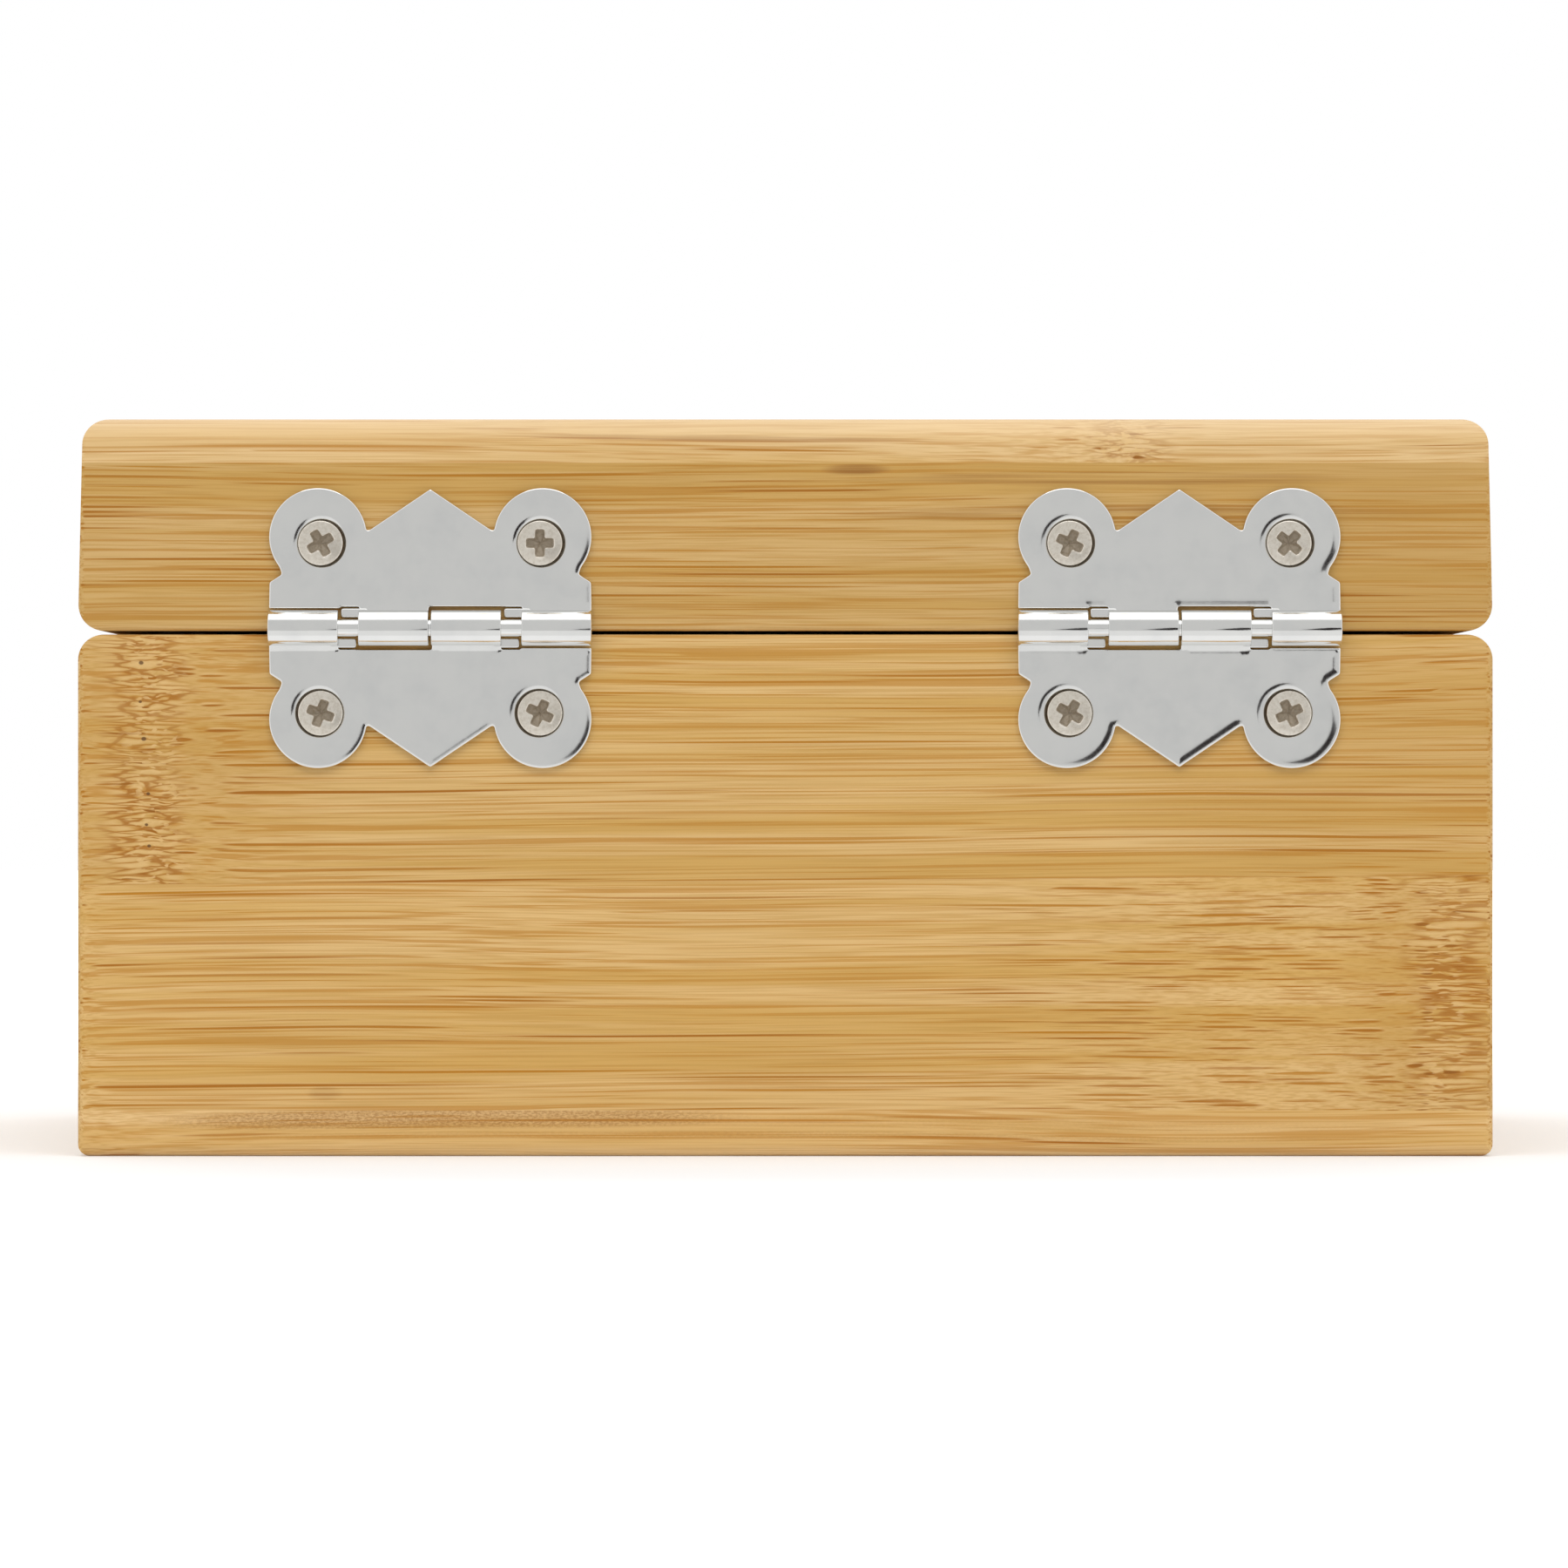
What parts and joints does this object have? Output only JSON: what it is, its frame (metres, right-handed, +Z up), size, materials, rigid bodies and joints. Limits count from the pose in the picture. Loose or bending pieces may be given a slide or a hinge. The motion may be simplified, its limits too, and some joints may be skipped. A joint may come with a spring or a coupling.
{
  "type": "tea bag organizer box",
  "caption": "Square bamboo tea bag box with four divided compartments, a lid on two screwed butterfly hinges and a small snap hasp in front.",
  "frame": {"origin": "middle of the underside of the box, on the surface it stands on", "axes": "+Z up, +Y towards the back with the hinges, -Y towards the front with the hasp, +X to the right as seen from the front"},
  "size_m": [0.16, 0.169, 0.0834],
  "materials": {
    "bamboo_board": "caramel bamboo strips, thin satin lacquer",
    "bamboo_panel": "natural bamboo strips, thin satin lacquer",
    "hinge_plating": "bright plated sheet steel",
    "screw_nickel": "nickel plated steel"
  },
  "bodies": {
    "box": {"bottom_panel": "bamboo_board", "front_board": "bamboo_board", "back_board": "bamboo_board", "left_board": "bamboo_board", "right_board": "bamboo_board", "side_to_side_divider": "bamboo_panel", "front_to_back_divider": "bamboo_panel", "left_hinge_lower_leaf": "hinge_plating", "left_hinge_pin": "hinge_plating", "left_hinge_lower_screws": "screw_nickel", "right_hinge_lower_leaf": "hinge_plating", "right_hinge_pin": "hinge_plating", "right_hinge_lower_screws": "screw_nickel", "keeper": "hinge_plating", "keeper_screws": "screw_nickel"},
    "lid": {"lid_panel": "bamboo_panel", "lid_front_rail": "bamboo_board", "lid_back_rail": "bamboo_board", "lid_left_rail": "bamboo_board", "lid_right_rail": "bamboo_board", "left_hinge_upper_leaf": "hinge_plating", "left_hinge_upper_screws": "screw_nickel", "right_hinge_upper_leaf": "hinge_plating", "right_hinge_upper_screws": "screw_nickel", "hasp_plate": "hinge_plating", "hasp_plate_screws": "screw_nickel", "hasp_pin": "hinge_plating"},
    "tongue": {"hasp_tongue": "hinge_plating"}
  },
  "joints": [
    {"name": "lid_hinge", "type": "hinge", "parent": "box", "child": "lid", "pos_m": [0, 0.0823, 0.0597], "axis": [-1, 0, 0], "range_deg": [0, 180]},
    {"name": "tongue_swing", "type": "hinge", "parent": "lid", "child": "tongue", "pos_m": [0, -0.0819, 0.0649], "axis": [-1, 0, 0], "range_deg": [0, 135]}
  ]
}
